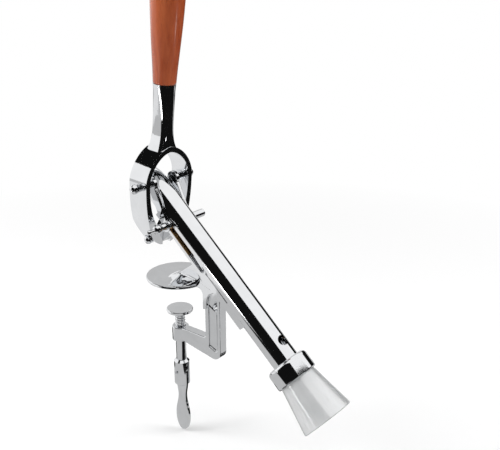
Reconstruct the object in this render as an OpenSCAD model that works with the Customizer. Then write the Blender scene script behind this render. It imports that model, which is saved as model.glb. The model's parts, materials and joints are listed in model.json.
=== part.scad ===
// Counter mount corkscrew: clamp frame, inclined barrel with bell, stirrup lever with wood grip.
// The origin is the centre of the clamp pad's underside, on the counter. +X runs along the
// counter's edge, +Y goes in over the counter, -Y is the user's side and +Z is up.

/* [Clamp] */
// Diameter of the round pad that sits on the counter
pad_d = 72; // [66:1:80]
// Thickness of the round pad
pad_t = 3; // [2:0.5:5]
// Distance from the screw's axis to the inner face of the web
jaw_reach = 43; // [41:1:50]
// Depth of the web, from its inner face to its front
web_depth = 21; // [19:1:26]
// Thickness of the web, side to side
web_t = 11; // [9:0.5:14]
// Opening between the pad and the lower arm
jaw_gap = 60; // [56:1:70]
// Depth of the lower arm at the web
arm_depth = 23; // [18:1:28]
// Height of the threaded boss
boss_h = 17; // [14:1:22]
// Diameter of the threaded boss
boss_d = 19; // [17:0.5:22]
// Radius of the web's outer lower corner
corner_r = 10; // [6:1:14]
// Depth of the sunk panel on each side of the web
panel_depth = 1.8; // [0.5:0.1:2.5]
// Thickness of the counter in the jaw
counter_t = 38; // [20:1:44]

/* [Clamp screw] */
// Diameter of the screw
screw_d = 11.8; // [10:0.1:13]
// Height of the pressure shoe
shoe_h = 7; // [6:0.5:9]
// Diameter of the pressure shoe
shoe_d = 30; // [24:1:34]
// Length of screw that shows between the boss and the clevis
screw_free = 26; // [20:1:34]
// Diameter of the clevis
clevis_d = 18; // [16:0.5:22]
// Length of the clevis
clevis_h = 34; // [30:1:40]
// Distance of the spoon's pin below the top of the clevis
spoon_pin_drop = 15; // [13:0.5:18]
// Diameter of the spoon's pin
spoon_pin_d = 4; // [3:0.5:5]
// Thickness of the spoon
spoon_t = 4.4; // [3:0.2:6]
// Length of the spoon from its pin to its tip
spoon_len = 81; // [70:1:95]
// Width of the spoon's bulb
spoon_w = 20; // [16:0.5:24]
// Width of the spoon's waist
spoon_waist = 11; // [9:0.5:13]

/* [Barrel] */
// Slope of the barrel below horizontal
barrel_tilt = 41.2; // [38:0.1:44]
// Distance of the cross pin's rest place in front of the pad's centre
pin_front = 5.3; // [4:0.1:9]
// Height of the barrel's axis there
pin_height = 69.5; // [68:0.1:76]
// Outside diameter of the tube
tube_d = 29.2; // [28.8:0.1:30]
// Bore of the tube, which takes the cork
tube_bore = 24.8; // [24.4:0.1:25]
// Rise of the tube's outside above the axis of its bore
tube_rise = 1; // [0:0.1:1.2]
// Length of tube above the cross pin
tube_up = 46; // [42:1:50]
// Length of tube below the cross pin
tube_down = 202; // [200:1:206]
// Length of the domed cap on the tube's upper end
cap_len = 26; // [18:1:30]
// Width of the keel under the tube
keel_w = 25; // [24:0.1:26]
// Distance from the tube's axis to the underside of the keel
keel_drop = 13.8; // [13.6:0.1:15]
// Place of the keel's upper end, above the cross pin
keel_up = 20; // [16:1:24]
// Place of the keel's lower end, below the cross pin
keel_down = 135; // [128:1:142]
// Width of the side slots
slot_w = 8.8; // [8.2:0.1:9.4]
// Place of the round hole near the collar
hole_at = 170.7; // [160:0.5:178]
// Diameter of the round hole
hole_d = 11.4; // [8:0.2:13]

/* [Bell] */
// Place of the collar's shoulder, below the cross pin
collar_at = 189; // [186:0.5:191]
// Outside diameter of the collar
collar_d = 46; // [42:0.5:50]
// Length of the collar
collar_len = 21; // [20:0.5:26]
// Radius of the collar's shoulder
collar_r = 5; // [3:0.5:8]
// Outside diameter of the bell where it leaves the collar
bell_top_d = 40; // [38:0.5:41]
// Outside diameter of the bell's mouth
bell_mouth_d = 57; // [54:0.5:60]
// Length of bell that shows
bell_len = 50; // [44:1:56]
// Wall of the bell
bell_wall = 2.6; // [2:0.1:3.4]

/* [Lever] */
// Lean of the lever toward the user at rest
lever_lean = 4.3; // [3:0.1:7]
// Distance of the lever's pivot below the barrel's axis
pivot_drop = 38; // [36:0.5:41]
// Distance of the lever's pivot above the cross pin, along the barrel
pivot_up = 5.5; // [4:0.1:8]
// Distance from the lever's pivot to the link studs
stud_h = 63.5; // [60:0.1:66]
// Half width of the stirrup, outside
ring_half = 35; // [33:0.5:38]
// Wall of the stirrup's sides
ring_wall = 5.8; // [4.5:0.1:6.5]
// Height of the stirrup's widest place above the pivot
ring_mid = 68; // [64:1:72]
// Height of the stirrup's top above the pivot
ring_top = 103.5; // [100:0.5:106]
// Depth of the stirrup's band, front to back
band_top = 25; // [20:0.5:27]
// Depth of the stirrup's band at the pivot
band_low = 15; // [13:0.5:18]
// Width of the shank, side to side
shank_w = 15; // [13:0.5:18]
// Depth of the shank, front to back
shank_depth = 19.5; // [17:0.5:22]
// Height of the shank's round end above the pivot
shank_top = 169.5; // [164:0.5:176]
// Diameter of the shank's round end
ferrule_d = 24.4; // [22:0.2:25]
// Extra lean of the shank and grip over the stirrup
grip_lean = 1.7; // [0:0.1:4]
// Set-back of the shank on the stirrup's crown
grip_back = 1.1; // [0:0.1:3]
// Diameter of the lever's pivot pin
pivot_pin_d = 7; // [6:0.5:8]
// Diameter of the link studs
stud_d = 5; // [4:0.5:6]
// Diameter of the ball nuts
ball_d = 10.6; // [9:0.2:12]

/* [Grip] */
// Length of the wood grip
grip_len = 150; // [130:1:170]
// Diameter of the grip at its lower end
grip_low_d = 24.4; // [22:0.2:26]
// Largest diameter of the grip
grip_max_d = 37; // [34:0.5:40]
// Height of the grip's largest diameter above its lower end
grip_belly = 112; // [100:1:125]
// Diameter of the tang inside the grip
tang_d = 8; // [6:0.5:10]
// Length of tang inside the grip
tang_len = 95; // [70:5:110]

/* [Carriage and links] */
// Distance of the cross pin below the barrel's axis
cross_drop = 6; // [5:0.1:6.4]
// Diameter of the cross pin
cross_d = 6.4; // [5.6:0.1:6.4]
// Length of the carriage below the cross pin
carriage_down = 37.5; // [34:0.5:38.5]
// Length of the carriage above the cross pin
carriage_up = 12; // [10:0.5:14]
// Thickness of the links
link_t = 4.4; // [3.6:0.2:5]
// Diameter of a link's upper head
link_head_d = 15; // [13:0.5:17]
// Diameter of a link's lower eye
link_eye_d = 13; // [11:0.5:14]
// Diameter of the spindle
spindle_d = 9; // [8:0.1:9.6]
// Outside diameter of the worm
worm_d = 9.4; // [8.6:0.2:10]
// Diameter of the worm's wire
worm_wire = 3; // [2.4:0.2:3.4]
// Lead of the worm
worm_lead = 10; // [8:0.5:12]

/* [Hidden] */
$fn = 96;
e = 0.01;             // overlap that makes a cut clean
gap = 0.3;            // air between pieces that move past each other
run = 0.05;           // radial clearance of a running fit
seam = 0.02;          // radial clearance of a fixed fit in a faceted wall

CHROME = [0.80, 0.81, 0.83];
STEEL = [0.62, 0.63, 0.65];
BRASS = [0.72, 0.55, 0.26];
WOOD = [0.60, 0.27, 0.13];
FROST = [0.86, 0.88, 0.88];
RUBBER = [0.16, 0.16, 0.16];

// Barrel: x across, y up from the axis, z down along the tube from the cross pin's rest place
module at_barrel() {
    translate([0, -pin_front, pin_height]) rotate([90 + barrel_tilt, 0, 0]) children();
}

// Lever: z up along the lever from its pivot, y away from the user
module at_lever() {
    at_barrel() translate([0, -pivot_drop, -pivot_up])
        rotate([lever_lean - 90 - barrel_tilt, 0, 0]) children();
}

// Grip: the shank and the wood lean a little more than the stirrup
module at_grip() {
    at_lever() translate([0, grip_back, shank_from]) rotate([grip_lean, 0, 0])
        translate([0, 0, -shank_from]) children();
}

// An outline in (Y, Z), extruded along X
module across(width) {
    rotate([90, 0, 90]) linear_extrude(width, center = true) children();
}

// A rod along X between two places
module rod_x(from, to, d) {
    translate([from, 0, 0]) rotate([0, 90, 0]) cylinder(h = to - from, d = d);
}

// A ball nut on X, flat where it sits against its neighbour; side is 1 or -1
module ball_nut(side, at, d) {
    translate([side * at, 0, 0]) intersection() {
        sphere(d = d, $fn = 64);
        translate([-side * d * 0.42, 0, 0]) rod_x(side > 0 ? 0 : -d, side > 0 ? d : 0, 2 * d);
    }
}

// A closed section: an ellipse made squarer by its power
function squircle(w, d, power, n) = [
    for (i = [0:n - 1]) let (a = 360 * i / n)
        [w * sign(cos(a)) * pow(abs(cos(a)), 2 / power), d * sign(sin(a)) * pow(abs(sin(a)), 2 / power)]
];

// A solid skinned over closed sections of n places each
module loft(sections) {
    n = len(sections[0]);
    m = len(sections);
    points = [for (s = sections) each s];
    sides = [
        for (j = [0:m - 2]) for (i = [0:n - 1]) let (k = (i + 1) % n)
            [j * n + i, (j + 1) * n + i, (j + 1) * n + k, j * n + k]
    ];
    split = [for (q = sides) each [[q[0], q[1], q[2]], [q[0], q[2], q[3]]]];
    low = [for (i = [0:n - 1]) i];
    high = [for (i = [n - 1:-1:0]) (m - 1) * n + i];
    polyhedron(points, concat([low], split, [high]));
}

// ---- clamp frame ----
jaw_y = -jaw_reach;
front_y = jaw_y - web_depth;
arm_top = -jaw_gap;
arm_low = arm_top - arm_depth;
boss_low = arm_top - boss_h;
// Height of the keel's underside at a distance y along the counter
function keel_z(y) = pin_height - keel_drop * cos(barrel_tilt)
    + (y + pin_front - keel_drop * sin(barrel_tilt)) * tan(barrel_tilt);

saddle_back = -32.5;      // back end of the saddle, where it meets the keel
saddle_w = 18;            // width of the saddle
jaw_r = 7;                // fillet at the top of the jaw
bolt_at = 78;             // place of the frame bolt along the barrel
dowel_at = 56.7;          // place of the locating dowel
bolt_d = 6;
bolt_head_d = 10;
bolt_head_h = 5;
bolt_bite = 1.2;          // the bolt's end, inside the keel's wall
saddle_t = 8;             // metal between the keel and the bolt's head
dowel_len = 12;

module frame_side() {
    difference() {
        union() {
            // the C of the jaw, with its rounded outer corner
            hull() {
                translate([front_y + corner_r, arm_low + corner_r]) circle(corner_r);
                polygon([[front_y, -20], [jaw_y + 8, -20], [-6, boss_low + 2], [-6, arm_top - 1]]);
            }
            polygon([[front_y, -21], [front_y, keel_z(front_y)], [saddle_back, keel_z(saddle_back)],
                [0, pad_t], [0, 0], [-20, 0], [-20, -21]]);
        }
        // the jaw, with a fillet at each inner corner
        hull() {
            translate([jaw_y + 3, arm_top + 3]) circle(3);
            translate([jaw_y + jaw_r, -jaw_r]) circle(jaw_r);
            polygon([[jaw_y + 20, 0], [60, 0], [60, arm_top], [jaw_y + 20, arm_top]]);
        }
    }
}

// The saddle's front edge sweeps round into the web
function sweep(from, to, n) = [for (i = [0:n]) let (a = 90 * i / n)
    [from[0] + (to[0] - from[0]) * sin(a), to[1] + (from[1] - to[1]) * cos(a)]];

module saddle_side() {
    intersection() {
        frame_side();
        polygon(concat([[12, 60], [front_y, 60], [front_y, keel_z(front_y) - 1]],
            [[jaw_y - 15, -1]], sweep([jaw_y - 12, -3], [jaw_y - 5, -22], 12),
            [[jaw_y + 4, -26], [12, -26]]));
    }
}

// The neck flares from the saddle's foot out to the pad's rim, like a tent
flare_back = 9;           // its apex, behind the saddle
flare_rise = 7.5;         // height of the flare over the pad where it is highest
function flare_foot(y) = min(pad_d / 2 - 1,
    saddle_w / 4 + (pad_d / 2 - 3) * pow((flare_back - y) / 15, 0.85));
function flare_top(y) = y > -15
    ? flare_rise * pow(sin(90 * (flare_back - y) / 24), 1.6)
    : flare_rise - 0.11 * (-15 - y);

// Half of one section across the flare, from the saddle out to its foot
function flare_half(y, n) = let (
    foot = flare_foot(y),
    root = min(saddle_w / 2 - 0.2, foot * 0.45))
    [for (k = [0:n]) let (t = k / n)
        [root + (foot - root) * t, y, pad_t - 0.3 + flare_top(y) * pow(1 - t, 2.3)]];

module neck() {
    n = 12;
    loft([for (i = [0:18]) let (half = flare_half(flare_back - 0.6 - 44 * pow(i / 18, 1.3), n))
        concat([for (k = [n:-1:0]) half[k]], [for (p = half) [-p[0], p[1], p[2]]])]);
}

module panel_outline() {
    hull() {
        translate([jaw_y - 6.5, arm_top - 8]) circle(1.5);
        translate([front_y + 7, arm_top - 10]) circle(2.5);
        translate([front_y + 7, -27]) circle(2.5);
        translate([jaw_y - 6.5, -20]) circle(1.5);
    }
}

module window_outline() {
    hull() {
        translate([front_y + 6.4, -19.5]) circle(3.3);
        translate([front_y + 5.4, -13]) circle(1);
    }
}

module clamp_frame() {
    color(CHROME) difference() {
        union() {
            across(web_t) frame_side();
            across(saddle_w) saddle_side();
            cylinder(h = pad_t, d = pad_d);
            intersection() {
                neck();
                cylinder(h = 60, d = pad_d - 1.6);
            }
            translate([0, 0, boss_low]) cylinder(h = boss_h, d = boss_d);
        }
        // bore of the screw's thread
        translate([0, 0, boss_low - 1]) cylinder(h = boss_h + 2, d = screw_d + 2 * run);
        // nothing of the frame stands above the keel's underside
        at_barrel() translate([-30, -keel_drop, -40]) cube([60, 80, 240]);
        for (s = [-1, 1]) translate([s * (web_t / 2 + 5 - panel_depth), 0, 0]) across(10) panel_outline();
        across(web_t + 20) window_outline();
        at_barrel() {
            translate([0, -keel_drop - saddle_t - 20, bolt_at]) rotate([-90, 0, 0]) {
                cylinder(h = saddle_t + 21, d = bolt_d + 2 * seam);
                cylinder(h = 20, d = bolt_head_d + 2 * gap);
            }
            translate([0, -keel_drop - dowel_len / 2 - 0.6, dowel_at]) rotate([-90, 0, 0])
                rotate([0, 0, 10]) cylinder(h = 12, d = bolt_d + 2 * seam);
        }
    }
}

module frame_bolt() {
    color(STEEL) at_barrel() translate([0, -keel_drop - saddle_t, bolt_at]) rotate([-90, 0, 0])
    difference() {
        union() {
            cylinder(h = saddle_t + bolt_bite, d = bolt_d);
            translate([0, 0, -bolt_head_h]) cylinder(h = bolt_head_h, d = bolt_head_d);
        }
        translate([0, 0, -bolt_head_h - e]) cylinder(h = 3, d = 5.8, $fn = 6);
    }
}

module locating_dowel() {
    color(STEEL) at_barrel() translate([0, -keel_drop - dowel_len / 2, dowel_at]) rotate([-90, 0, 0])
        cylinder(h = dowel_len / 2 + bolt_bite, d = bolt_d);
}

// ---- clamp screw ----
shoe_low = -counter_t - shoe_h;
tip_d = 8;
clevis_top = boss_low - screw_free;
pin_z = clevis_top - spoon_pin_drop;
clevis_slot = spoon_t + 2 * gap;
hub_d = clevis_d - 2;     // round hub of the spoon, in the clevis
screw_tail = spoon_pin_drop - hub_d / 2 - 0.5;
lock_d = 2.5;             // cross pin between the screw and its clevis

// The shoe: a cup that swivels on the screw's tip
module pressure_shoe() {
    color(CHROME) difference() {
        rotate_extrude() polygon([[0, shoe_low], [9, shoe_low], [10, shoe_low + 1], [10.5, shoe_low + 3],
            [shoe_d / 2 - 1, shoe_low + 3], [shoe_d / 2, shoe_low + 4], [shoe_d / 2, -counter_t - 0.6],
            [shoe_d / 2 - 0.6, -counter_t], [0, -counter_t]]);
        translate([0, 0, shoe_low - 1]) cylinder(h = shoe_h - 1.5, d = tip_d + 2 * run);
    }
}

module lock_bore(length) {
    translate([0, 0, clevis_top - screw_tail / 2 - 0.4]) rotate([90, 0, 0])
        cylinder(h = length, d = lock_d, center = true);
}

module clamp_screw() {
    color(CHROME) difference() {
        union() {
            translate([0, 0, clevis_top - screw_tail])
                cylinder(h = shoe_low - 0.4 - clevis_top + screw_tail, d = screw_d);
            translate([0, 0, shoe_low - 1]) cylinder(h = shoe_h - 1.6, d = tip_d);
        }
        lock_bore(40);
    }
}

module screw_clevis() {
    low = clevis_top - clevis_h;
    color(CHROME) difference() {
        rotate_extrude() polygon([[0, clevis_top], [clevis_d / 2 - 2.5, clevis_top],
            [clevis_d / 2, clevis_top - 2.5], [clevis_d / 2, low + 3], [clevis_d / 2 - 3, low], [0, low]]);
        translate([0, 0, clevis_top - screw_tail]) cylinder(h = screw_tail + 1, d = screw_d);
        translate([-clevis_slot / 2, -20, low - 1]) cube([clevis_slot, 40, pin_z + hub_d / 2 + 1 - low]);
        translate([0, 0, pin_z]) rod_x(-20, 20, spoon_pin_d);
        lock_bore(40);
    }
}

// Cross pin that locks the clevis on the screw
module clevis_pin() {
    color(STEEL) lock_bore(clevis_d - 0.6);
}

// Half width of the spoon at a distance s below its pin: cheek, waist, bulb and round tip
cheek_end = spoon_len * 0.17;
waist_at = spoon_len * 0.41;
bulb_at = spoon_len * 0.74;
cheek_w = hub_d / 2;
function spoon_half(s) =
    s < cheek_end ? cheek_w
    : s < waist_at ? cheek_w
        - (cheek_w - spoon_waist / 2) * pow(sin(90 * (s - cheek_end) / (waist_at - cheek_end)), 2)
    : s < bulb_at ? spoon_waist / 2
        + (spoon_w - spoon_waist) / 2 * pow(sin(90 * (s - waist_at) / (bulb_at - waist_at)), 2)
    : spoon_w / 2 * sqrt(max(0, 1 - pow((s - bulb_at) / (spoon_len - bulb_at), 2.2)));

module thumb_spoon() {
    steps = 66;
    right = [for (i = [0:steps]) let (s = spoon_len * i / steps) [spoon_half(s), -s]];
    left = [for (i = [steps:-1:0]) let (s = spoon_len * i / steps) [-spoon_half(s), -s]];
    color(CHROME) translate([0, 0, pin_z]) difference() {
        union() {
            across(spoon_t) polygon(concat(right, left));
            rod_x(-spoon_t / 2, spoon_t / 2, hub_d);
        }
        rod_x(-20, 20, spoon_pin_d + 2 * run);
    }
}

module spoon_pin() {
    color(STEEL) translate([0, 0, pin_z]) rod_x(-clevis_d / 2 - 0.8, clevis_d / 2 + 0.8, spoon_pin_d);
}

// ---- barrel ----
bore_r = tube_bore / 2;
slot_end = 60.4;          // centre of the slot's lower end
lug_w = 11.4;             // thickness of the lug that carries the lever
lug_r = 7.6;
clip_w = 1.4;             // width of the ring that stops the drive nut
clip_at = 195;
clip_bite = 0.6;

module along_tube(from, to, d, rise = 0) {
    translate([0, rise, from]) cylinder(h = to - from, d = d);
}

module barrel() {
    color(CHROME) at_barrel() difference() {
        union() {
            along_tube(-tube_up, tube_down, tube_d, tube_rise);
            translate([-keel_w / 2, -keel_drop, -keel_up])
                cube([keel_w, keel_drop - 5, keel_up + keel_down]);
            // the lug that carries the lever's pivot
            rotate([0, -90, 0]) linear_extrude(lug_w, center = true) hull() {
                translate([-pivot_up, -pivot_drop]) circle(lug_r);
                translate([-keel_up + 2, -keel_drop - 1]) square([24, 3]);
            }
        }
        along_tube(-tube_up - 1, tube_down + 1, tube_bore);
        // the side slots that the cross pin runs in
        for (a = [-0.4, slot_end]) translate([0, -cross_drop, a]) rod_x(-30, 30, slot_w);
        translate([-30, -cross_drop - slot_w / 2, -0.4]) cube([60, slot_w, slot_end + 0.4]);
        // the groove of the drive nut's stop ring
        along_tube(clip_at, clip_at + clip_w, tube_bore + 2 * clip_bite);
        translate([0, 0, hole_at]) rotate([-90, 0, 0]) cylinder(h = 40, d = hole_d);
        translate([0, -pivot_drop, -pivot_up]) rod_x(-30, 30, pivot_pin_d + 2 * run);
        translate([0, -keel_drop - 1, bolt_at]) rotate([-90, 0, 0]) cylinder(h = 8, d = bolt_d);
        translate([0, -keel_drop - 1, dowel_at]) rotate([-90, 0, 0]) cylinder(h = 8, d = bolt_d);
    }
}

// Domed cap, pressed into the tube's upper end
module barrel_cap() {
    steps = 24;
    dome = [for (i = [0:steps]) let (t = i / steps)
        [tube_d / 2 * pow(max(0, 1 - pow(t, 2.2)), 1 / 2.2), -tube_up - cap_len * t]];
    color(CHROME) at_barrel() difference() {
        union() {
            translate([0, tube_rise, 0]) rotate_extrude() polygon(concat([[0, -tube_up]], dome));
            along_tube(-tube_up - 1, -tube_up + 8, tube_bore);
        }
        along_tube(-tube_up - 6, -tube_up + 9, tube_bore - 4);
    }
}

// ---- bell ----
cavity_at = tube_down;
collar_end = collar_at + collar_len;
seat_h = 4;

module bell_collar() {
    arc = [for (i = [0:12]) let (a = 90 * i / 12)
        [collar_d / 2 - collar_r * (1 - sin(a)), collar_at + collar_r * (1 - cos(a))]];
    color(CHROME) at_barrel() difference() {
        rotate_extrude() polygon(concat([[0, cavity_at], [0, collar_at]], arc,
            [[collar_d / 2, collar_end - 1], [collar_d / 2 - 1, collar_end],
            [bell_top_d / 2, collar_end], [bell_top_d / 2, cavity_at]]));
        along_tube(collar_at - 1, cavity_at + 1, tube_d, tube_rise);
    }
}

// The ring that the bottle's lip comes up against
module neck_seat() {
    out = bell_top_d / 2 - bell_wall;
    color(RUBBER) at_barrel() rotate_extrude() polygon([[bore_r - 0.3, cavity_at], [out, cavity_at],
        [out, cavity_at + seat_h], [bore_r + 0.7, cavity_at + seat_h],
        [bore_r - 0.3, cavity_at + seat_h - 1]]);
}

module bell() {
    top = bell_top_d / 2;
    mouth = bell_mouth_d / 2;
    end = collar_end + bell_len;
    color(FROST) at_barrel() rotate_extrude() polygon([[top - bell_wall, cavity_at], [top, cavity_at],
        [top, collar_end], [mouth, end - 0.8], [mouth - 0.6, end], [mouth - bell_wall + 0.6, end],
        [mouth - bell_wall, end - 0.8], [top - bell_wall, collar_end]]);
}

// ---- drive nut ----
nut_len = 12;
nut_hole = worm_d + 2 * gap;

module drive_nut() {
    top = clip_at - nut_len;
    low = clip_at - 0.05;
    color(BRASS) at_barrel() rotate_extrude() polygon([[nut_hole / 2, top], [bore_r - 1.3, top],
        [bore_r - run, top + 1], [bore_r - run, low], [nut_hole / 2 + 1, low], [nut_hole / 2, low - 1]]);
}

module nut_retaining_ring() {
    color(STEEL) at_barrel() difference() {
        along_tube(clip_at, clip_at + clip_w, tube_bore + 2 * clip_bite);
        along_tube(clip_at - 1, clip_at + clip_w + 1, tube_bore - 1.6);
        translate([-2, -20, clip_at - 1]) cube([4, 20, 4]);
    }
}

// ---- lever ----
ear_in = lug_w / 2 + gap;
ear_out = 14;
ear_r = 8;
ring_low = -8.3;          // underside of the stirrup, measured from the pivot
ring_floor = 10;          // inner floor of the stirrup
band_front = 10.8;        // reach of the band in front of the pivot
shank_from = ring_top - 4;

// The band's reach to the front and back grows from the ears up
function grow(h) = h < 2 ? 0 : h > 26 ? 1 : pow(sin(90 * (h - 2) / 24), 2);
function front_at(h) = band_low / 2 + (band_front - band_low / 2) * grow(h);
function back_at(h) = band_low / 2 + (band_top - band_front - band_low / 2) * grow(h);

// Upper and lower halves of an egg: (x, h)
function egg(half, low, mid, high) = concat(
    [for (i = [0:32]) let (a = 180 * i / 32)
        [half * sign(cos(a)) * pow(abs(cos(a)), 2 / 1.72), mid + (high - mid) * pow(sin(a), 2 / 1.72)]],
    [for (i = [1:31]) let (a = 180 * i / 32)
        [-half * sign(cos(a)) * pow(abs(cos(a)), 2 / 2.3), mid - (mid - low) * pow(sin(a), 2 / 2.3)]]
);

module stirrup_blank() {
    rotate([90, 0, 0]) linear_extrude(60, center = true) difference() {
        polygon(egg(ring_half, ring_low, ring_mid, ring_top));
        polygon(egg(ring_half - ring_wall, ring_floor, ring_mid, ring_top - ring_wall));
    }
}

module stirrup_depth() {
    n = 28;
    rows = [for (i = [0:n]) ring_low - 2 + (ring_top + 6 - ring_low) * i / n];
    across(120) polygon(concat([for (h = rows) [back_at(h), h]],
        [for (i = [n:-1:0]) [-front_at(rows[i]), rows[i]]]));
}

// The shank grows out of the stirrup's crown and turns from flat to round
module shank() {
    span = shank_top - shank_from;
    rows = [for (i = [0:20]) let (t = i / 20, k = pow(1 - t, 7), g = pow(t, 2.2))
        [shank_from + span * t,
        (shank_w + (ferrule_d - shank_w) * g) / 2 + 6 * k,
        (shank_depth + (ferrule_d - shank_depth) * g) / 2 + (band_top - shank_depth) * 0.36 * k,
        5 - 3 * min(1, t * 1.1)]];
    loft([for (r = rows) [for (p = squircle(r[1], r[2], r[3], 64)) [p[0], p[1], r[0]]]]);
}

module lever_stirrup() {
    color(CHROME) at_lever() difference() {
        union() {
            intersection() {
                stirrup_blank();
                stirrup_depth();
            }
            intersection() {
                translate([0, grip_back, shank_from]) rotate([grip_lean, 0, 0])
                    translate([0, 0, -shank_from]) shank();
                translate([-60, -40, ring_top - ring_wall + 1]) cube([120, 80, 200]);
            }
        }
        // the fork round the barrel's lug
        translate([-ear_in, -30, ring_low - 10]) cube([2 * ear_in, 60, ring_floor - ring_low + 12]);
        rod_x(-40, 40, pivot_pin_d + 2 * seam);
        for (s = [-1, 1]) rod_x(s > 0 ? ear_out : -40, s > 0 ? 40 : -ear_out, 11.4);
        translate([0, 0, stud_h]) {
            rod_x(-60, 60, stud_d);
            for (s = [-1, 1])
                rod_x(s > 0 ? collar_in : -60, s > 0 ? 60 : -collar_in, collar_nut_d + 2 * seam);
        }
        translate([0, grip_back, shank_from]) rotate([grip_lean, 0, 0])
            translate([0, 0, shank_top - tang_in - shank_from]) cylinder(h = tang_in + 1, d = tang_d);
    }
}

module lever_pivot_pin() {
    color(STEEL) at_lever() rod_x(-ear_out - 3, ear_out + 3, pivot_pin_d);
}

pivot_neck_d = pivot_pin_d + 2;

module pivot_ball_nuts() {
    color(CHROME) at_lever() for (s = [-1, 1]) difference() {
        union() {
            rod_x(s > 0 ? ear_out : -ear_out - 4, s > 0 ? ear_out + 4 : -ear_out, pivot_neck_d);
            ball_nut(s, ear_out + 6.4, ball_d - 0.8);
        }
        rod_x(-ear_out - 3, ear_out + 3, pivot_pin_d);
    }
}

// ---- link studs ----
link_in = 14.6;
link_out = link_in + link_t;
stud_in = link_out + gap;
tang_in = 16;
ring_out = ring_half + 0.1;
collar_in = ring_out - 0.8;
collar_nut_d = 8.6;
stud_end = ring_out + 6;
spacer_d = stud_d + 2.6;

module link_studs() {
    color(STEEL) at_lever() translate([0, 0, stud_h])
        for (s = [-1, 1]) rod_x(s > 0 ? stud_in : -stud_end, s > 0 ? stud_end : -stud_in, stud_d);
}

module stud_spacers() {
    inner = ring_half - ring_wall - 1.1;
    color(CHROME) at_lever() translate([0, 0, stud_h]) for (s = [-1, 1]) difference() {
        rod_x(s > 0 ? stud_in : -inner, s > 0 ? inner : -stud_in, spacer_d);
        rod_x(-60, 60, stud_d);
    }
}

module stud_collars() {
    color(STEEL) at_lever() translate([0, 0, stud_h]) for (s = [-1, 1]) difference() {
        rod_x(s > 0 ? collar_in : -ring_out - 2, s > 0 ? ring_out + 2 : -collar_in, collar_nut_d);
        rod_x(-60, 60, stud_d);
    }
}

module stud_ball_nuts() {
    color(CHROME) at_lever() translate([0, 0, stud_h]) for (s = [-1, 1]) difference() {
        ball_nut(s, ring_out + 2 + ball_d * 0.42, ball_d);
        rod_x(s > 0 ? 0 : -stud_end, s > 0 ? stud_end : 0, stud_d);
    }
}

// ---- grip ----
// Radius of the grip at a height z above its lower end
function grip_r(z) = z < grip_belly
    ? grip_low_d / 2 + (grip_max_d - grip_low_d) / 2 * pow(sin(90 * z / grip_belly), 1.25)
    : grip_max_d / 2 * pow(max(0, 1 - pow((z - grip_belly) / (grip_len - grip_belly), 2.3)), 1 / 2.3);

module wood_handle() {
    steps = 60;
    side = [for (i = [0:steps]) let (z = 1 + (grip_len - 1) * i / steps) [grip_r(z), z]];
    color(WOOD) at_grip() translate([0, 0, shank_top]) difference() {
        rotate_extrude() polygon(concat([[0, 0], [grip_low_d / 2 - 1, 0]], side));
        translate([0, 0, -1]) cylinder(h = tang_len + 1, d = tang_d);
    }
}

module handle_tang() {
    color(STEEL) at_grip() translate([0, 0, shank_top - tang_in])
        cylinder(h = tang_in + tang_len - 1, d = tang_d);
}

// ---- carriage ----
carriage_r = bore_r - run;
boss_out = 13.6;
pocket_at = 13;           // floor of the pocket for the spindle's head
bush_at = 20;
bush_d = 17;

module carriage() {
    color(BRASS) at_barrel() difference() {
        union() {
            along_tube(-carriage_up, carriage_down, 2 * carriage_r);
            translate([0, -cross_drop, 0]) rod_x(-boss_out, boss_out, slot_w - 2 * gap);
        }
        translate([0, -cross_drop, 0]) rod_x(-30, 30, cross_d);
        along_tube(pocket_at, carriage_down + 1, bush_d);
    }
}

// Bush screwed into the carriage, which holds the spindle's head
module spindle_bush() {
    color(STEEL) at_barrel() difference() {
        along_tube(bush_at, carriage_down, bush_d);
        along_tube(bush_at - 1, carriage_down + 1, spindle_d + 2 * run);
    }
}

sleeve_d = 8.6;
sleeve_out = 26.6;
cross_out = 46;           // end of the knob on the left
end_out = 41;             // end of the pin on the right
cross_ball_d = 10.4;

module at_cross() {
    at_barrel() translate([0, -cross_drop, 0]) children();
}

module cross_pin() {
    color(STEEL) at_cross() rod_x(-sleeve_out - 4, link_out + 10, cross_d);
}

module cross_pin_sleeve() {
    color(CHROME) at_cross() difference() {
        rod_x(-sleeve_out, -stud_in, sleeve_d);
        rod_x(-60, 60, cross_d);
    }
}

// Ball nut with a small knob, on the left end of the cross pin
module cross_pin_ball() {
    color(CHROME) at_cross() difference() {
        union() {
            ball_nut(-1, sleeve_out + cross_ball_d * 0.42, cross_ball_d);
            rod_x(-cross_out + 3, -sleeve_out - 6, 3.4);
            translate([-cross_out + 2.7, 0, 0]) sphere(d = 5.4, $fn = 48);
        }
        rod_x(-sleeve_out - 4, -10, cross_d);
    }
}

module cross_pin_end() {
    color(CHROME) at_cross() rotate([0, 90, 0]) rotate_extrude() polygon([[0, link_out + 10],
        [cross_d / 2, link_out + 10], [cross_d / 2, stud_in], [4.5, stud_in], [4.5, end_out - 1],
        [3.5, end_out], [0, end_out]]);
}

// ---- links ----
// The stud's place on the barrel, from the lever's pivot and lean
stud_angle = lever_lean - barrel_tilt;
head_a = -pivot_up + stud_h * sin(stud_angle);
head_u = -pivot_drop + stud_h * cos(stud_angle);
link_len = norm([head_a, head_u + cross_drop]);

module link(side) {
    r1 = link_head_d / 2;
    r2 = link_eye_d / 2;
    x = side * (link_in + link_out) / 2;
    angle = atan2(head_u + cross_drop, -head_a);
    color(CHROME) at_cross() translate([x, 0, 0]) rotate([angle, 0, 0]) difference() {
        union() {
            rod_x(-link_t / 2, link_t / 2, link_eye_d);
            translate([0, 0, -link_len]) rod_x(-link_t / 2, link_t / 2, link_head_d);
            across(link_t) polygon([[-4, -2], [-4.4, -link_len], [4.4, -link_len], [4, -2]]);
        }
        rod_x(-30, 30, cross_d + 2 * run);
    }
}

module link_left() {
    link(-1);
}

module link_right() {
    link(1);
}

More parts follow.
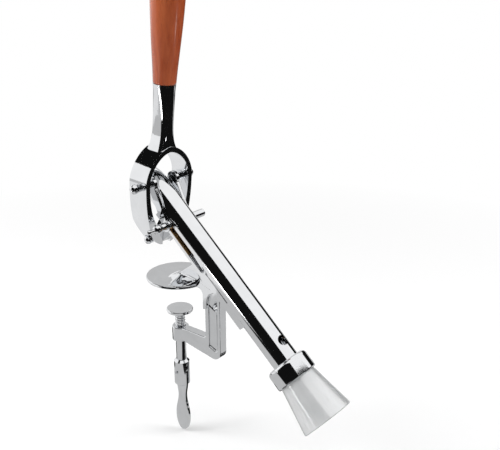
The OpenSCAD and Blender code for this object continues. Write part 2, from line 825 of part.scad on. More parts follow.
// ---- spindle and worm ----
washer_t = 1.4;
washer_at = pocket_at + 0.1;
head_at = washer_at + washer_t + 0.1;
spindle_end = 132;
worm_from = spindle_end;
worm_len = 60;
stem_len = 10;
lock_at = spindle_end - 5;

module spindle() {
    color(STEEL) at_barrel() difference() {
        union() {
            along_tube(head_at, bush_at - 0.1, bush_d - 2 * gap);
            along_tube(bush_at - 1, spindle_end, spindle_d);
        }
        along_tube(spindle_end - stem_len, spindle_end + 1, worm_wire);
        translate([0, 0, lock_at]) rod_x(-20, 20, 1.5);
    }
}

module thrust_washer() {
    color(BRASS) at_barrel() along_tube(washer_at, washer_at + washer_t, bush_d - 2 * gap);
}

module worm_pin() {
    color(STEEL) at_barrel() translate([0, 0, lock_at])
        rod_x(-spindle_d / 2 + 0.3, spindle_d / 2 - 0.3, 1.5);
}

// Place t turns down the worm: it leaves the axis in the first half turn
worm_r = (worm_d - worm_wire) / 2;
turns = worm_len / worm_lead;
function wire_at(t) = let (r = t < 0 ? 0 : t < 0.6 ? worm_r * pow(sin(150 * t), 2) : worm_r)
    [r * cos(360 * t), r * sin(360 * t), worm_from + worm_lead * t];
function wire_r(t) = t > turns - 0.5
    ? 0.2 + (worm_wire / 2 - 0.2) * sqrt(max(0, (turns - t) / 0.5))
    : worm_wire / 2;
function unit(v) = v / norm(v);

module worm() {
    sides = 12;
    per = 20;
    times = concat([-(stem_len - 0.2) / worm_lead, -0.02], [for (i = [0:turns * per]) i / per]);
    sections = [for (t = times) let (
        d = unit(wire_at(t + 0.01) - wire_at(t - 0.01)),
        b = unit(cross(d, [cos(360 * t), sin(360 * t), 0])),
        n = cross(b, d))
        [for (k = [0:sides - 1]) let (a = 360 * k / sides)
            wire_at(t) + wire_r(t) * (cos(a) * n + sin(a) * b)]];
    color(STEEL) at_barrel() difference() {
        loft(sections);
        translate([0, 0, lock_at]) rod_x(-20, 20, 1.5);
    }
}

clamp_frame();
frame_bolt();
locating_dowel();
pressure_shoe();
clamp_screw();
screw_clevis();
clevis_pin();
thumb_spoon();
spoon_pin();
barrel();
barrel_cap();
drive_nut();
nut_retaining_ring();
bell_collar();
neck_seat();
bell();
lever_stirrup();
lever_pivot_pin();
pivot_ball_nuts();
link_studs();
stud_spacers();
stud_collars();
stud_ball_nuts();
handle_tang();
wood_handle();
carriage();
cross_pin();
cross_pin_sleeve();
cross_pin_ball();
cross_pin_end();
link_left();
link_right();
spindle();
spindle_bush();
thrust_washer();
worm_pin();
worm();
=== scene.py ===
# %% [markdown]
# # A counter mount corkscrew
#
# This lesson dresses a lever corkscrew that is held by a clamp. Its solids come from a frame that
# already has the right sizes and joints. The lesson gives each piece its edges, its small details
# and its finish, and then sets up a plain studio and the camera.

# %% The tools and the frame
import json
import math

import bmesh
import bpy
from mathutils import Matrix, Vector

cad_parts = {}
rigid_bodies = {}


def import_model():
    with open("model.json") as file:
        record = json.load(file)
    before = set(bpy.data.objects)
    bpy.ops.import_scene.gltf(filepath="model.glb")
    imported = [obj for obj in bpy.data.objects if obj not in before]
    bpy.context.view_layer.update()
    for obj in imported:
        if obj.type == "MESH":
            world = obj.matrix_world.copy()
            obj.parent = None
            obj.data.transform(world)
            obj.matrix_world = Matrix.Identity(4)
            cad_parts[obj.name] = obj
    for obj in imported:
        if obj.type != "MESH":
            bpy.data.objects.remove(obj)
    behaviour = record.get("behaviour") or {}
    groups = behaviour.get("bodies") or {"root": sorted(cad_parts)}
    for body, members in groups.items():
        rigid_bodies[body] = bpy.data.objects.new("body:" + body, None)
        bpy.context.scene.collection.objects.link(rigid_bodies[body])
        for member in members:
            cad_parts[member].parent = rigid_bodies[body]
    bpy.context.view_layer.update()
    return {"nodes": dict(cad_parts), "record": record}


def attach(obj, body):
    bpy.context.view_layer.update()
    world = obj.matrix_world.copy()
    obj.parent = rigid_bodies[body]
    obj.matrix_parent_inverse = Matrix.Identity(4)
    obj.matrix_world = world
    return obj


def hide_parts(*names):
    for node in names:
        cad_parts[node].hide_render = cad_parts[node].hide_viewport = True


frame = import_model()
scene = bpy.context.scene
nodes = frame["nodes"]

# %% [markdown]
# ## Units
#
# Lengths are in millimetres here and turned into metres at the last moment, since that is how a
# maker reads a drawing. The barrel's tilt is the one angle that a finish needs: its brass pieces
# were turned about that axis.

# %% Millimetres and the barrel's tilt
MM = 0.001
TILT = 41.2
print("one millimetre:", MM, "barrel tilted by", TILT, "degrees")

# %% [markdown]
# ## Finishes
#
# Every finish is a small node tree on object coordinates, so that it stays put when the piece
# moves. Chrome is more than a mirror: the plating has faint ripples, wiping marks and a few hair
# scratches, and those are what make a reflection look like metal. A picture of scratches would do
# too, but noise needs no file and has no seam.

# %% Node helpers
def new_material(name):
    """A material with its shader, ready for links."""
    material = bpy.data.materials.new(name)
    material.use_nodes = True
    tree = material.node_tree
    shader = tree.nodes["Principled BSDF"]
    return material, tree, shader


def add(tree, kind, **values):
    """One node; values set its own fields, or its inputs by name."""
    node = tree.nodes.new(kind)
    for key, value in values.items():
        if hasattr(node, key):
            setattr(node, key, value)
        else:
            node.inputs[key.replace("_", " ")].default_value = value
    return node


def place(tree, stretch=(1, 1, 1), turn=(0, 0, 0)):
    """Object coordinates, stretched and turned."""
    where = tree.nodes.new("ShaderNodeTexCoord")
    mapping = tree.nodes.new("ShaderNodeMapping")
    mapping.inputs["Scale"].default_value = stretch
    mapping.inputs["Rotation"].default_value = turn
    tree.links.new(where.outputs["Object"], mapping.inputs["Vector"])
    return mapping.outputs["Vector"]


def noise(tree, where, scale, detail=3.0, rough=0.5):
    """Noise of a given scale: its grey value."""
    node = add(tree, "ShaderNodeTexNoise", Scale=scale, Detail=detail, Roughness=rough)
    tree.links.new(where, node.inputs["Vector"])
    return node.outputs["Fac"]


def spread(tree, value, low, high, to_low, to_high):
    """Maps a value's range low..high onto to_low..to_high."""
    node = add(tree, "ShaderNodeMapRange")
    for key, number in (("From Min", low), ("From Max", high), ("To Min", to_low), ("To Max", to_high)):
        node.inputs[key].default_value = number
    tree.links.new(value, node.inputs["Value"])
    return node.outputs["Result"]


def ramp(tree, value, *stops):
    """A colour ramp through (place, colour) stops."""
    node = tree.nodes.new("ShaderNodeValToRGB")
    while len(node.color_ramp.elements) < len(stops):
        node.color_ramp.elements.new(0.5)
    for element, (at, colour) in zip(node.color_ramp.elements, stops):
        element.position = at
        element.color = (*colour, 1)
    tree.links.new(value, node.inputs["Fac"])
    return node.outputs["Color"]


def bump(tree, height, strength, depth, under=None):
    """A bumped normal, on top of the one under it."""
    node = add(tree, "ShaderNodeBump", Strength=strength, Distance=depth)
    tree.links.new(height, node.inputs["Height"])
    if under is not None:
        tree.links.new(under, node.inputs["Normal"])
    return node.outputs["Normal"]


HELPERS = (new_material, add, place, noise, spread, ramp, bump)
print("helpers:", ", ".join(helper.__name__ for helper in HELPERS))

# %% Chrome, plain and cast
CHROME_ROUGH = (0.02, 0.085)  # from a wiped place to a scratched one
CHROME_DIM = 0.93  # how much darker a hazy place is


def make_chrome(name, ripple, ripple_size, tone=(0.86, 0.87, 0.885)):
    """Plated metal: ripples of the casting below, wiping marks and hair scratches."""
    material, tree, shader = new_material(name)
    shader.inputs["Metallic"].default_value = 1.0
    where = place(tree)
    marks = noise(tree, where, 60, 4, 0.6)
    fine = noise(tree, place(tree, (1, 1, 9), (0.5, 0.3, 0.2)), 520, 2)
    both = add(tree, "ShaderNodeMath", operation="MULTIPLY")
    tree.links.new(marks, both.inputs[0])
    tree.links.new(fine, both.inputs[1])
    rough = spread(tree, both.outputs[0], 0.16, 0.38, *CHROME_ROUGH)
    tree.links.new(rough, shader.inputs["Roughness"])
    dim = tuple(v * CHROME_DIM for v in tone)
    tree.links.new(ramp(tree, marks, (0.3, dim), (0.7, tone)), shader.inputs["Base Color"])
    soft = bump(tree, noise(tree, where, ripple_size, 2), ripple, 0.0006)
    hair = bump(tree, fine, 0.02, 0.0001, soft)
    tree.links.new(hair, shader.inputs["Normal"])
    return material


chrome = make_chrome("plated chrome", 0.025, 70)
cast_chrome = make_chrome("plated casting", 0.07, 85, (0.84, 0.85, 0.865))
print("chrome:", chrome.name, "and", cast_chrome.name)

# %% [markdown]
# ## Steel and brass
#
# Pins and bolts are ground, and the brass pieces inside the barrel are turned, so both show fine
# parallel lines from their tool. Noise that is squeezed one way gives such lines at any distance,
# where a picture of them would blur. The brass is tilted with the barrel. The worm is drawn wire
# and has only a fine grain.


# %% Ground steel, turned brass and the worm's steel
def make_steel(
    name, tone, rough_low, rough_high, turn=(0, 0, 0), lines=(1, 1, 1), grain=700, colour_step=0.9
):
    """Ground or turned metal: fine parallel lines that change the gloss and the tone."""
    material, tree, shader = new_material(name)
    shader.inputs["Metallic"].default_value = 1.0
    where = place(tree, lines, turn)
    cut = noise(tree, where, grain, 3, 0.6)
    stain = noise(tree, place(tree), 90, 3)
    tree.links.new(spread(tree, cut, 0.3, 0.7, rough_low, rough_high), shader.inputs["Roughness"])
    dark = tuple(v * colour_step for v in tone)
    tree.links.new(ramp(tree, stain, (0.32, dark), (0.68, tone)), shader.inputs["Base Color"])
    tree.links.new(bump(tree, cut, 0.12, 0.0001), shader.inputs["Normal"])
    return material


steel = make_steel("ground steel", (0.66, 0.67, 0.69), 0.14, 0.30, lines=(12, 1, 1))
worm_steel = make_steel("worm steel", (0.7, 0.71, 0.73), 0.10, 0.22, lines=(1, 1, 1), grain=900)
brass = make_steel(
    "turned brass", (0.40, 0.24, 0.10), 0.22, 0.42, (math.radians(-TILT), 0, 0), (1, 14, 1), 500, 0.82
)
print("metals:", steel.name, worm_steel.name, brass.name)

# %% [markdown]
# ## The grip's wood
#
# The grip is a red-brown hardwood under clear varnish. Its grain runs along the grip: long soft
# streaks, finer pores inside them, and a coat on top that shines while the wood below stays dull.
# A picture of wood could be wrapped round the grip, but stretched noise has no seam at the back.


# %% Varnished wood
def make_wood():
    """Grain along the grip in four browns, pores, and a clear coat."""
    material, tree, shader = new_material("varnished hardwood")
    along = place(tree, (1, 1, 0.05))
    warp = noise(tree, place(tree, (1, 1, 0.16)), 38, 3)
    streaks = noise(tree, along, 330, 4, 0.6)
    wide = noise(tree, place(tree, (1, 1, 0.1)), 95, 3, 0.55)
    mix = add(tree, "ShaderNodeMix", data_type="FLOAT")
    mix.inputs["Factor"].default_value = 0.5
    tree.links.new(wide, mix.inputs[2])
    tree.links.new(streaks, mix.inputs[3])
    total = add(tree, "ShaderNodeMix", data_type="FLOAT")
    total.inputs["Factor"].default_value = 0.35
    tree.links.new(mix.outputs[0], total.inputs[2])
    tree.links.new(warp, total.inputs[3])
    pores = noise(tree, place(tree, (1, 1, 0.03)), 1500, 2)
    colour = ramp(
        tree,
        total.outputs[0],
        (0.30, (0.230, 0.030, 0.0045)),
        (0.43, (0.360, 0.058, 0.0085)),
        (0.56, (0.450, 0.086, 0.0135)),
        (0.70, (0.520, 0.118, 0.021)),
    )
    dots = ramp(tree, pores, (0.30, (0.72, 0.66, 0.62)), (0.42, (1, 1, 1)))
    tint = add(tree, "ShaderNodeMix", data_type="RGBA", blend_type="MULTIPLY")
    tint.inputs["Factor"].default_value = 0.8
    tree.links.new(colour, tint.inputs[6])
    tree.links.new(dots, tint.inputs[7])
    tree.links.new(tint.outputs[2], shader.inputs["Base Color"])
    tree.links.new(spread(tree, streaks, 0.3, 0.7, 0.30, 0.46), shader.inputs["Roughness"])
    shader.inputs["Coat Weight"].default_value = 1.0
    shader.inputs["Coat IOR"].default_value = 1.5
    shader.inputs["Coat Roughness"].default_value = 0.14
    tree.links.new(bump(tree, pores, 0.08, 0.0001), shader.inputs["Normal"])
    return material


wood = make_wood()
print("wood:", wood.name)

# %% [markdown]
# ## The bell's plastic and the seat's rubber
#
# The bell is clear plastic with a fine frost moulded in. Its coat is stronger than a real one, so
# that the dark and light cards of the studio show on it as the soft stripes of the photograph.


# %% Frosted plastic and seat rubber
def make_frosted():
    """The bell: clear plastic with a fine moulded frost, so it glows instead of showing through."""
    material, tree, shader = new_material("frosted plastic")
    shader.inputs["Transmission Weight"].default_value = 0.55
    shader.inputs["IOR"].default_value = 1.6
    shader.inputs["Coat Weight"].default_value = 1.0
    shader.inputs["Coat IOR"].default_value = 2.4
    shader.inputs["Coat Roughness"].default_value = 0.12
    where = place(tree)
    frost = noise(tree, where, 1600, 3, 0.6)
    cloud = noise(tree, where, 55, 3)
    tree.links.new(spread(tree, cloud, 0.3, 0.7, 0.34, 0.5), shader.inputs["Roughness"])
    milk = ramp(tree, cloud, (0.3, (0.86, 0.875, 0.88)), (0.7, (0.94, 0.95, 0.955)))
    tree.links.new(milk, shader.inputs["Base Color"])
    tree.links.new(bump(tree, frost, 0.1, 0.0001), shader.inputs["Normal"])
    return material


def make_rubber():
    """Dull black rubber with a fine speckle."""
    material, tree, shader = new_material("seat rubber")
    where = place(tree)
    speckle = noise(tree, where, 1400, 3)
    tree.links.new(spread(tree, speckle, 0.3, 0.7, 0.55, 0.8), shader.inputs["Roughness"])
    soot = ramp(tree, noise(tree, where, 160), (0.3, (0.02, 0.02, 0.02)), (0.7, (0.045, 0.044, 0.043)))
    tree.links.new(soot, shader.inputs["Base Color"])
    tree.links.new(bump(tree, speckle, 0.3, 0.0001), shader.inputs["Normal"])
    return material


frosted = make_frosted()
rubber = make_rubber()
print("soft parts:", frosted.name, "and", rubber.name)

# %% [markdown]
# ## Edges
#
# A real edge is never sharp: it is broken by a file, a tumbler or the casting itself, and the thin
# line of light along it says how big the object is. The solids could carry these edges themselves,
# at the price of many small faces, so a bevel on a copy is the lighter way.
#
# A solid comes as loose triangles, and a bevel needs whole faces. Each copy therefore has its
# double corners merged and its flat triangles joined first.

# %% Copy a solid and join its triangles
WELD = 2e-6  # corners closer than this, in metres, are one corner
FLAT_WITHIN = 0.6  # faces that turn by less than this, in degrees, are one face


def joined_copy(name, cut):
    """A copy of a solid's mesh in whole faces; cut is work done on the copy."""
    mesh = nodes[name].data.copy()
    mesh.name = name + "_finished"
    mesh.materials.clear()
    form = bmesh.new()
    form.from_mesh(mesh)
    for layer in list(form.loops.layers.uv):
        form.loops.layers.uv.remove(layer)
    bmesh.ops.remove_doubles(form, verts=form.verts, dist=WELD)
    bmesh.ops.dissolve_degenerate(form, dist=1e-6, edges=form.edges)
    bmesh.ops.dissolve_limit(
        form,
        angle_limit=math.radians(FLAT_WITHIN),
        verts=form.verts,
        edges=form.edges,
        delimit=set(),
    )
    if cut:
        cut(form)
    form.to_mesh(mesh)
    form.free()
    if mesh.has_custom_normals:
        mesh.attributes.remove(mesh.attributes["custom_normal"])
    for polygon in mesh.polygons:
        polygon.use_smooth = True
    return mesh


print("corners merged within", WELD, "m, faces joined within", FLAT_WITHIN, "degrees")

# %% [markdown]
# ## One finished piece
#
# The bevel rounds every edge that turns by more than a set angle. Normals are then weighted by
# area, so that flat faces stay flat in the reflections. Last, the piece is attached to the body it
# rides on, and the solid that it takes the place of is hidden.

# %% Break the edges of a copy
BROKEN_FROM = 32  # edges that turn by more than this, in degrees, are broken
SHARP_ANGLE = 50  # a piece with broken edges shades sharp above this angle
FACE_WEIGHT = 60  # how far the large faces win over the small ones in the shading
BODY_OF = {
    name: body
    for body, members in frame["record"]["behaviour"]["bodies"].items()
    for name in members
}


def finish_solid(name, material, edge, segments, cut):
    """A bevelled copy of a solid that takes its place."""
    mesh = joined_copy(name, cut)
    piece = bpy.data.objects.new(name + "_piece", mesh)
    scene.collection.objects.link(piece)
    mesh.materials.append(material)
    if edge > 0:
        bevel = piece.modifiers.new("broken edges", "BEVEL")
        bevel.width = edge * MM
        bevel.segments = segments
        bevel.limit_method = "ANGLE"
        bevel.angle_limit = math.radians(BROKEN_FROM)
        bevel.harden_normals = False
        # The casting keeps its full rounding; its smallest faces would shrink it everywhere.
        bevel.use_clamp_overlap = name != "clamp_frame"
        bevel.miter_outer = "MITER_ARC"
    smooth = piece.modifiers.new("weighted", "WEIGHTED_NORMAL")
    smooth.keep_sharp = True
    smooth.weight = FACE_WEIGHT
    mesh.set_sharp_from_angle(angle=math.radians(SHARP_ANGLE if edge > 0 else BROKEN_FROM))
    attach(piece, BODY_OF[name])
    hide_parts(name)


print("solids that ride on a body:", len(BODY_OF))

# %% [markdown]
# ## Every solid and its finish
#
# One line for each solid: its material, the slot that the frame gives it, the width of its broken
# edge in millimetres and the steps in that edge. Castings get wide soft edges, turned pins narrow
# ones, and the worm none, as it is round wire.

# %% The table of finishes
FINISH = {
    "clamp_frame": (cast_chrome, "chrome", 0.8, 3),
    "frame_bolt": (steel, "steel", 0.3, 2),
    "locating_dowel": (steel, "steel", 0.2, 1),
    "pressure_shoe": (chrome, "chrome", 0.3, 2),
    "clamp_screw": (chrome, "chrome", 0.3, 2),
    "screw_clevis": (chrome, "chrome", 0.4, 2),
    "clevis_pin": (steel, "steel", 0.2, 1),
    "thumb_spoon": (chrome, "chrome", 0.9, 3),
    "spoon_pin": (steel, "steel", 0.3, 2),
    "barrel": (chrome, "chrome", 0.4, 2),
    "barrel_cap": (chrome, "chrome", 0.2, 2),
    "drive_nut": (brass, "brass", 0.2, 1),
    "nut_retaining_ring": (steel, "steel", 0.1, 1),
    "bell_collar": (chrome, "chrome", 0.3, 2),
    "neck_seat": (rubber, "seat_rubber", 0.3, 2),
    "bell": (frosted, "frosted_plastic", 0.2, 2),
    "lever_stirrup": (cast_chrome, "chrome", 0.9, 3),
    "lever_pivot_pin": (steel, "steel", 0.3, 2),
    "pivot_ball_nuts": (chrome, "chrome", 0.2, 1),
    "link_studs": (steel, "steel", 0.3, 2),
    "stud_spacers": (chrome, "chrome", 0.3, 2),
    "stud_collars": (steel, "steel", 0.3, 2),
    "stud_ball_nuts": (chrome, "chrome", 0.2, 1),
    "handle_tang": (steel, "steel", 0.3, 2),
    "wood_handle": (wood, "varnished_wood", 0.3, 2),
    "carriage": (brass, "brass", 0.3, 2),
    "cross_pin": (steel, "steel", 0.3, 2),
    "cross_pin_sleeve": (chrome, "chrome", 0.3, 2),
    "cross_pin_ball": (chrome, "chrome", 0.2, 1),
    "cross_pin_end": (chrome, "chrome", 0.2, 1),
    "link_left": (chrome, "chrome", 0.7, 3),
    "link_right": (chrome, "chrome", 0.7, 3),
    "spindle": (steel, "steel", 0.3, 2),
    "spindle_bush": (steel, "steel", 0.3, 2),
    "thrust_washer": (brass, "brass", 0.1, 1),
    "worm_pin": (steel, "steel", 0.1, 1),
    "worm": (worm_steel, "steel", 0, 0),
}
print("finishes listed:", len(FINISH))

# %% [markdown]
# ## Room for the thread
#
# The clamp screw is plain in the frame. Its copy is cut at four heights and drawn in between them,
# so that the thread of the next step stands as high as the plain screw did. A thread laid on the
# full width would cut into the boss that it runs in.

# %% Draw in the clamp screw
THREAD_LOW, THREAD_TOP = -76.0, -46.5
THREAD_PITCH, THREAD_BEAD, THREAD_DEPTH = 3.0, 0.75, 0.8
SCREW_R = 5.9
TAPER = 0.8  # length of the short cone at each end of the drawn-in part
FULL_WIDTH = 0.5  # corners this close to an end stay out
SKIN = 0.2  # only corners this close to the outside are drawn in


def neck_down(form):
    """Narrows the clamp screw to the thread's root between two short tapers."""
    for z in (THREAD_LOW, THREAD_LOW + TAPER, THREAD_TOP - TAPER, THREAD_TOP):
        everything = form.verts[:] + form.edges[:] + form.faces[:]
        bmesh.ops.bisect_plane(
            form, geom=everything, dist=1e-7, plane_co=(0, 0, z * MM), plane_no=(0, 0, 1)
        )
    root = SCREW_R - THREAD_DEPTH
    for vert in form.verts:
        if (THREAD_LOW + FULL_WIDTH) * MM < vert.co.z < (THREAD_TOP - FULL_WIDTH) * MM:
            size = vert.co.xy.length
            if size > (SCREW_R - SKIN) * MM:
                vert.co.xy *= root * MM / size


print("root of the thread:", round(SCREW_R - THREAD_DEPTH, 2), "mm")

# %% Finish every solid
for name, (material, slot, edge, segments) in FINISH.items():
    finish_solid(name, material, edge, segments, neck_down if name == "clamp_screw" else None)

# %% [markdown]
# ## The screw's thread
#
# A thread is one shape that repeats as it climbs, so Geometry Nodes makes it: a spiral carries a
# round bead, as the thread of a clamp that has to run freely in dust. Turns, rise and radius are
# the tree's own inputs, so another screw needs only other numbers. The Screw modifier could turn
# the bead as well, but its numbers wouldn't stand together under such names.

# %% The thread's tree: a bead along a spiral
SPIRAL_STEPS = 40  # points in each turn
BEAD_STEPS = 10  # points round the bead


def thread_tree():
    """Geometry Nodes: a round bead swept along a spiral."""
    tree = bpy.data.node_groups.new("thread", "GeometryNodeTree")
    face = tree.interface
    for label, kind in (
        ("Turns", "NodeSocketFloat"),
        ("Rise", "NodeSocketFloat"),
        ("Radius", "NodeSocketFloat"),
        ("Bead", "NodeSocketFloat"),
        ("Material", "NodeSocketMaterial"),
    ):
        face.new_socket(label, in_out="INPUT", socket_type=kind)
    face.new_socket("Geometry", in_out="OUTPUT", socket_type="NodeSocketGeometry")
    given = tree.nodes.new("NodeGroupInput")
    result = tree.nodes.new("NodeGroupOutput")
    spiral = tree.nodes.new("GeometryNodeCurveSpiral")
    spiral.inputs["Resolution"].default_value = SPIRAL_STEPS
    bead = tree.nodes.new("GeometryNodeCurvePrimitiveCircle")
    bead.inputs["Resolution"].default_value = BEAD_STEPS
    sweep = tree.nodes.new("GeometryNodeCurveToMesh")
    sweep.inputs["Fill Caps"].default_value = True
    realize = tree.nodes.new("GeometryNodeRealizeInstances")
    paint = tree.nodes.new("GeometryNodeSetMaterial")
    link = tree.links.new
    link(given.outputs["Turns"], spiral.inputs["Rotations"])
    link(given.outputs["Rise"], spiral.inputs["Height"])
    link(given.outputs["Radius"], spiral.inputs["Start Radius"])
    link(given.outputs["Radius"], spiral.inputs["End Radius"])
    link(given.outputs["Bead"], bead.inputs["Radius"])
    link(spiral.outputs["Curve"], sweep.inputs["Curve"])
    link(bead.outputs["Curve"], sweep.inputs["Profile Curve"])
    link(sweep.outputs["Mesh"], realize.inputs["Geometry"])
    link(realize.outputs["Geometry"], paint.inputs["Geometry"])
    link(given.outputs["Material"], paint.inputs["Material"])
    link(paint.outputs["Geometry"], result.inputs["Geometry"])
    return tree


print("points in the thread:", SPIRAL_STEPS, "a turn,", BEAD_STEPS, "round the bead")


# %% Grow a thread and keep its mesh
def make_thread(name, low, top, radius, bead, material, body):
    """A thread between two heights, made by the tree and kept as a plain mesh."""
    rise = top - low
    carrier = bpy.data.objects.new(name + "_tree", bpy.data.meshes.new(name + "_tree"))
    scene.collection.objects.link(carrier)
    grow = carrier.modifiers.new("thread", "NODES")
    grow.node_group = thread_tree()
    values = {
        "Turns": rise / THREAD_PITCH,
        "Rise": rise * MM,
        "Radius": (radius - bead) * MM,
        "Bead": bead * MM,
        "Material": material,
    }
    for item in grow.node_group.interface.items_tree:
        if item.in_out == "INPUT":
            grow[item.identifier] = values[item.name]
    bpy.context.view_layer.update()
    grown = carrier.evaluated_get(bpy.context.evaluated_depsgraph_get())
    mesh = bpy.data.meshes.new_from_object(grown)
    bpy.data.objects.remove(carrier)
    mesh.name = name
    mesh.transform(Matrix.Translation((0, 0, low * MM)))
    for polygon in mesh.polygons:
        polygon.use_smooth = True
    piece = bpy.data.objects.new(name, mesh)
    scene.collection.objects.link(piece)
    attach(piece, body)
    print(name, "turns:", round(values["Turns"], 2), "faces:", len(mesh.polygons))


# %% The clamp screw's thread
RUN_OUT = 1.2  # the thread stops this far from each end of the drawn-in part
make_thread(
    "clamp_screw_thread",
    THREAD_LOW + RUN_OUT,
    THREAD_TOP - RUN_OUT,
    SCREW_R,
    THREAD_BEAD,
    chrome,
    BODY_OF["clamp_screw"],
)

# %% [markdown]
# ## Studio
#
# The floor is pale and plain and takes the object's shadow. Away from the object it turns into
# even white, for the camera alone, so that no horizon shows. A curved backdrop would hide the
# horizon too, but only from one side, and this object is looked at from all round.


# %% A plain card
def plain_card(name, width, height, matrix, shade):
    """A flat card of one even shade, which no light changes."""
    mesh = bpy.data.meshes.new(name)
    w, h = width / 2, height / 2
    mesh.from_pydata([(-w, -h, 0), (w, -h, 0), (w, h, 0), (-w, h, 0)], [], [(0, 1, 2, 3)])
    mesh.transform(matrix)
    card = bpy.data.objects.new(name, mesh)
    scene.collection.objects.link(card)
    material, tree, _ = new_material(name)
    glow = tree.nodes.new("ShaderNodeEmission")
    glow.inputs["Color"].default_value = (1, 1, 1, 1)
    glow.inputs["Strength"].default_value = shade
    tree.links.new(glow.outputs[0], tree.nodes["Material Output"].inputs["Surface"])
    mesh.materials.append(material)
    return card


# %% A floor that fades to white
FLOOR_Z = -0.2005
FLOOR_SIZE = 16.0
FLOOR_TONE = 0.92
FADE_FROM, FADE_TO = 0.30, 1.1  # metres from the middle, where the floor turns white


def make_floor():
    """Pale paint that takes the shadow near the object and fades to the white background."""
    floor = plain_card("floor", FLOOR_SIZE, FLOOR_SIZE, Matrix.Translation((0, 0, FLOOR_Z)), 1.0)
    tree = floor.data.materials[0].node_tree
    shader = tree.nodes["Principled BSDF"]
    shader.inputs["Base Color"].default_value = (FLOOR_TONE, FLOOR_TONE, FLOOR_TONE, 1)
    shader.inputs["Roughness"].default_value = 0.95
    shader.inputs["Specular IOR Level"].default_value = 0.0
    where = tree.nodes.new("ShaderNodeTexCoord")
    length = add(tree, "ShaderNodeVectorMath", operation="LENGTH")
    tree.links.new(where.outputs["Object"], length.inputs[0])
    far = spread(tree, length.outputs["Value"], FADE_FROM, FADE_TO, 0.0, 1.0)
    seen = tree.nodes.new("ShaderNodeLightPath")
    both = add(tree, "ShaderNodeMath", operation="MULTIPLY")
    tree.links.new(far, both.inputs[0])
    tree.links.new(seen.outputs["Is Camera Ray"], both.inputs[1])
    mixed = tree.nodes.new("ShaderNodeMixShader")
    tree.links.new(both.outputs[0], mixed.inputs["Fac"])
    tree.links.new(shader.outputs[0], mixed.inputs[1])
    tree.links.new(tree.nodes["Emission"].outputs[0], mixed.inputs[2])
    tree.links.new(mixed.outputs[0], tree.nodes["Material Output"].inputs["Surface"])
    return floor


floor = make_floor()
floor.visible_glossy = False  # the cards below take its place in reflections
print("floor at", FLOOR_Z, "white between", FADE_FROM, "and", FADE_TO, "m")

# %% [markdown]
# ## World
#
# The camera, the reflections and the bell see a plain white world. Dull surfaces get a little more
# than half of that, so that the lamps still model the wood and the floor keeps its shadow. One
# strength for all would be simpler, but either the background greys or the shadow fades.

# %% White world
SEEN_WHITE, LIGHT_WHITE = 1.0, 0.55


def make_world():
    """A white world with one strength for what is seen and one for dull light."""
    world = bpy.data.worlds.new("studio")
    scene.world = world
    world.use_nodes = True
    tree = world.node_tree
    tree.nodes.clear()
    out = tree.nodes.new("ShaderNodeOutputWorld")
    mixer = tree.nodes.new("ShaderNodeMixShader")
    for socket, strength in ((1, LIGHT_WHITE), (2, SEEN_WHITE)):
        white = tree.nodes.new("ShaderNodeBackground")
        white.inputs["Color"].default_value = (1, 1, 1, 1)
        white.inputs["Strength"].default_value = strength
        tree.links.new(white.outputs[0], mixer.inputs[socket])
    path = tree.nodes.new("ShaderNodeLightPath")
    which = path.outputs["Is Camera Ray"]
    for ray in ("Is Glossy Ray", "Is Transmission Ray"):
        either = add(tree, "ShaderNodeMath", operation="MAXIMUM")
        tree.links.new(which, either.inputs[0])
        tree.links.new(path.outputs[ray], either.inputs[1])
        which = either.outputs[0]
    tree.links.new(which, mixer.inputs["Fac"])
    tree.links.new(mixer.outputs[0], out.inputs["Surface"])


make_world()
print("world:", scene.world.name)

# %% [markdown]
# ## Cards
#
# The photograph's chrome owes its look to what it reflects: a bright tent with dark things in it.
# Each card here was placed by mirroring the camera's line of sight in a face of the object, and
# each is seen only in reflections. A card neither lights the object nor throws a shadow. A picture
# of a room would fill all reflections at once, but then none of them could be set by itself.

# %% Ways to place a card
OBJECT_AT = Vector((0, -0.03, 0.05))
BLACK = 0.006


def hide_from_camera(card):
    """Leaves a card only in mirror reflections."""
    for ray in ("camera", "diffuse", "shadow", "transmission"):
        setattr(card, "visible_" + ray, False)


print("cards face", tuple(round(v, 3) for v in OBJECT_AT))


# %% A card that stands, one on the floor and one that lies


def standing_card(name, direction, distance, width, height, shade=BLACK):
    """A card that faces the object from a direction."""
    toward = Vector(direction).normalized()
    turn = toward.to_track_quat("Z", "Y").to_matrix().to_4x4()
    place_at = Matrix.Translation(OBJECT_AT + toward * distance) @ turn
    hide_from_camera(plain_card(name, width, height, place_at, shade))


def wall_card(name, axis, at, across, z_range, shade=BLACK):
    """A card that stands on the floor, square to the axis x or y."""
    low, high = z_range
    middle = [sum(across) / 2] * 2 + [(low + high) / 2]
    middle["xy".index(axis)] = at
    turn = Matrix.Rotation(math.radians(90), 4, "X")
    if axis == "x":
        turn = Matrix.Rotation(math.radians(90), 4, "Z") @ turn
    place_at = Matrix.Translation(middle) @ turn
    hide_from_camera(plain_card(name, across[1] - across[0], high - low, place_at, shade))


def low_card(name, x_range, y_range, lift, shade):
    """A card that lies on the floor."""
    place_at = Matrix.Translation((sum(x_range) / 2, sum(y_range) / 2, FLOOR_Z + lift))
    width, depth = x_range[1] - x_range[0], y_range[1] - y_range[0]
    hide_from_camera(plain_card(name, width, depth, place_at, shade))


# %% Dark cards that stand
# The walls make the barrel's broad black band, the shank's black front and the dark line down the
# barrel's far side. The card above blackens the stirrup's shoulder.
wall_card("dark wall left", "x", -1.12, (-1.3, 0.70), (-0.2, 1.6))
wall_card("dark wall front", "y", -1.3, (-1.1, 1.3), (-0.2, 1.30))
wall_card("dark wall right", "x", 1.3, (-1.3, 0.5), (-0.2, 0.52))
standing_card("dark card above", (-0.13, 0.6, 0.75), 1.3, 1.05, 0.5)

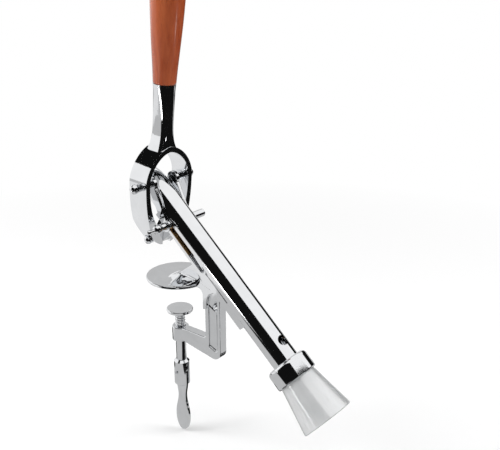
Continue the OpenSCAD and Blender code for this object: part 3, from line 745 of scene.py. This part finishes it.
# %% Sheets that lie on the floor, and a grey card
# The sheets lie a little above each other. Grey and pale ones give the clamp and the keel their
# even greys, dark ones the outlines of spoon, screw and clamp, bright strips the wood's shine.
low_card("grey sheet", (-4, 4), (-4, 4), 0.0002, 0.55)
low_card("pale sheet", (-0.85, 0.9), (0.22, 2.0), 0.0006, 0.86)
low_card("dark sheet front", (-1.1, 1.6), (-1.7, -0.33), 0.0010, BLACK)
low_card("dark sheet left", (-2.0, -0.40), (-1.7, 0.15), 0.0014, BLACK)
low_card("dark sheet near", (-0.10, 0.155), (-0.34, -0.14), 0.0018, BLACK)
low_card("dark sheet under", (0.03, 0.16), (-0.125, -0.03), 0.0030, BLACK)
low_card("dark strip back", (-0.05, 0.12), (0.15, 0.27), 0.0022, BLACK)
low_card("bright strip left", (-1.11, -0.86), (0.24, 0.44), 0.0026, 8.0)
low_card("bright strip right", (0.38, 0.52), (-1.27, -1.02), 0.0026, 4.5)
# The last card stands behind and greys the pad.
standing_card("grey card behind", (0.694, 0.582, 0.36), 1.6, 1.3, 0.8, 0.58)

# %% [markdown]
# ## Lamps
#
# Three wide lamps: one at each side of the camera, so that the round grip is lighter at its edges
# than in its middle, and one above. They stay out of the reflections, where they would burn white
# spots into the chrome, so only the cards show there.


# %% Soft lamps
def soft_lamp(name, at, size, power):
    """A wide lamp that looks at the object."""
    lamp = bpy.data.lights.new(name, "AREA")
    lamp.shape = "RECTANGLE"
    lamp.size, lamp.size_y = size
    lamp.energy = power
    thing = bpy.data.objects.new(name, lamp)
    thing.location = at
    thing.rotation_mode = "QUATERNION"
    thing.rotation_quaternion = (Vector(at) - OBJECT_AT).to_track_quat("Z", "Y")
    thing.visible_glossy = False
    scene.collection.objects.link(thing)


soft_lamp("left", (-0.85, 0.95, 0.75), (0.8, 1.2), 14)
soft_lamp("right", (0.85, -1.05, 0.85), (0.8, 1.2), 9)
soft_lamp("top", (-0.2, -0.1, 1.9), (1.2, 1.2), 9)

# %% [markdown]
# ## Camera
#
# The camera was fitted over the photograph, because one set by eye leaves every edge a little off.
# It has 755 pixels of focal length at 500 pixels wide, and its three axes are given as they were
# measured.

# %% Camera
SENSOR_WIDTH = 36.0
FOCAL_PIXELS, IMAGE_WIDTH = 755.34, 500.0
camera_data = bpy.data.cameras.new("camera")
camera_data.sensor_fit = "HORIZONTAL"
camera_data.sensor_width = SENSOR_WIDTH
camera_data.lens = FOCAL_PIXELS * SENSOR_WIDTH / IMAGE_WIDTH
camera = bpy.data.objects.new("camera", camera_data)
scene.collection.objects.link(camera)
RIGHT = Vector((0.6202, -0.78444, -0.00114))
UP = Vector((0.26664, 0.20944, 0.94076))
BACK = Vector((-0.73774, -0.58377, 0.33906))
CAMERA_AT = (-0.5566, -0.5419, 0.3394)
camera_turn = Matrix((RIGHT, UP, BACK)).transposed().to_4x4()
camera.matrix_world = Matrix.Translation(CAMERA_AT) @ camera_turn
scene.camera = camera
scene.view_settings.view_transform = "Standard"
print("lens:", round(camera_data.lens, 2), "mm")

# %% [markdown]
# ## Last update
#
# The view layer is updated once more, so that every piece stands where its body puts it. The
# dressed object has to fill the same box as its solids.

# %% The last update
bpy.context.view_layer.update()
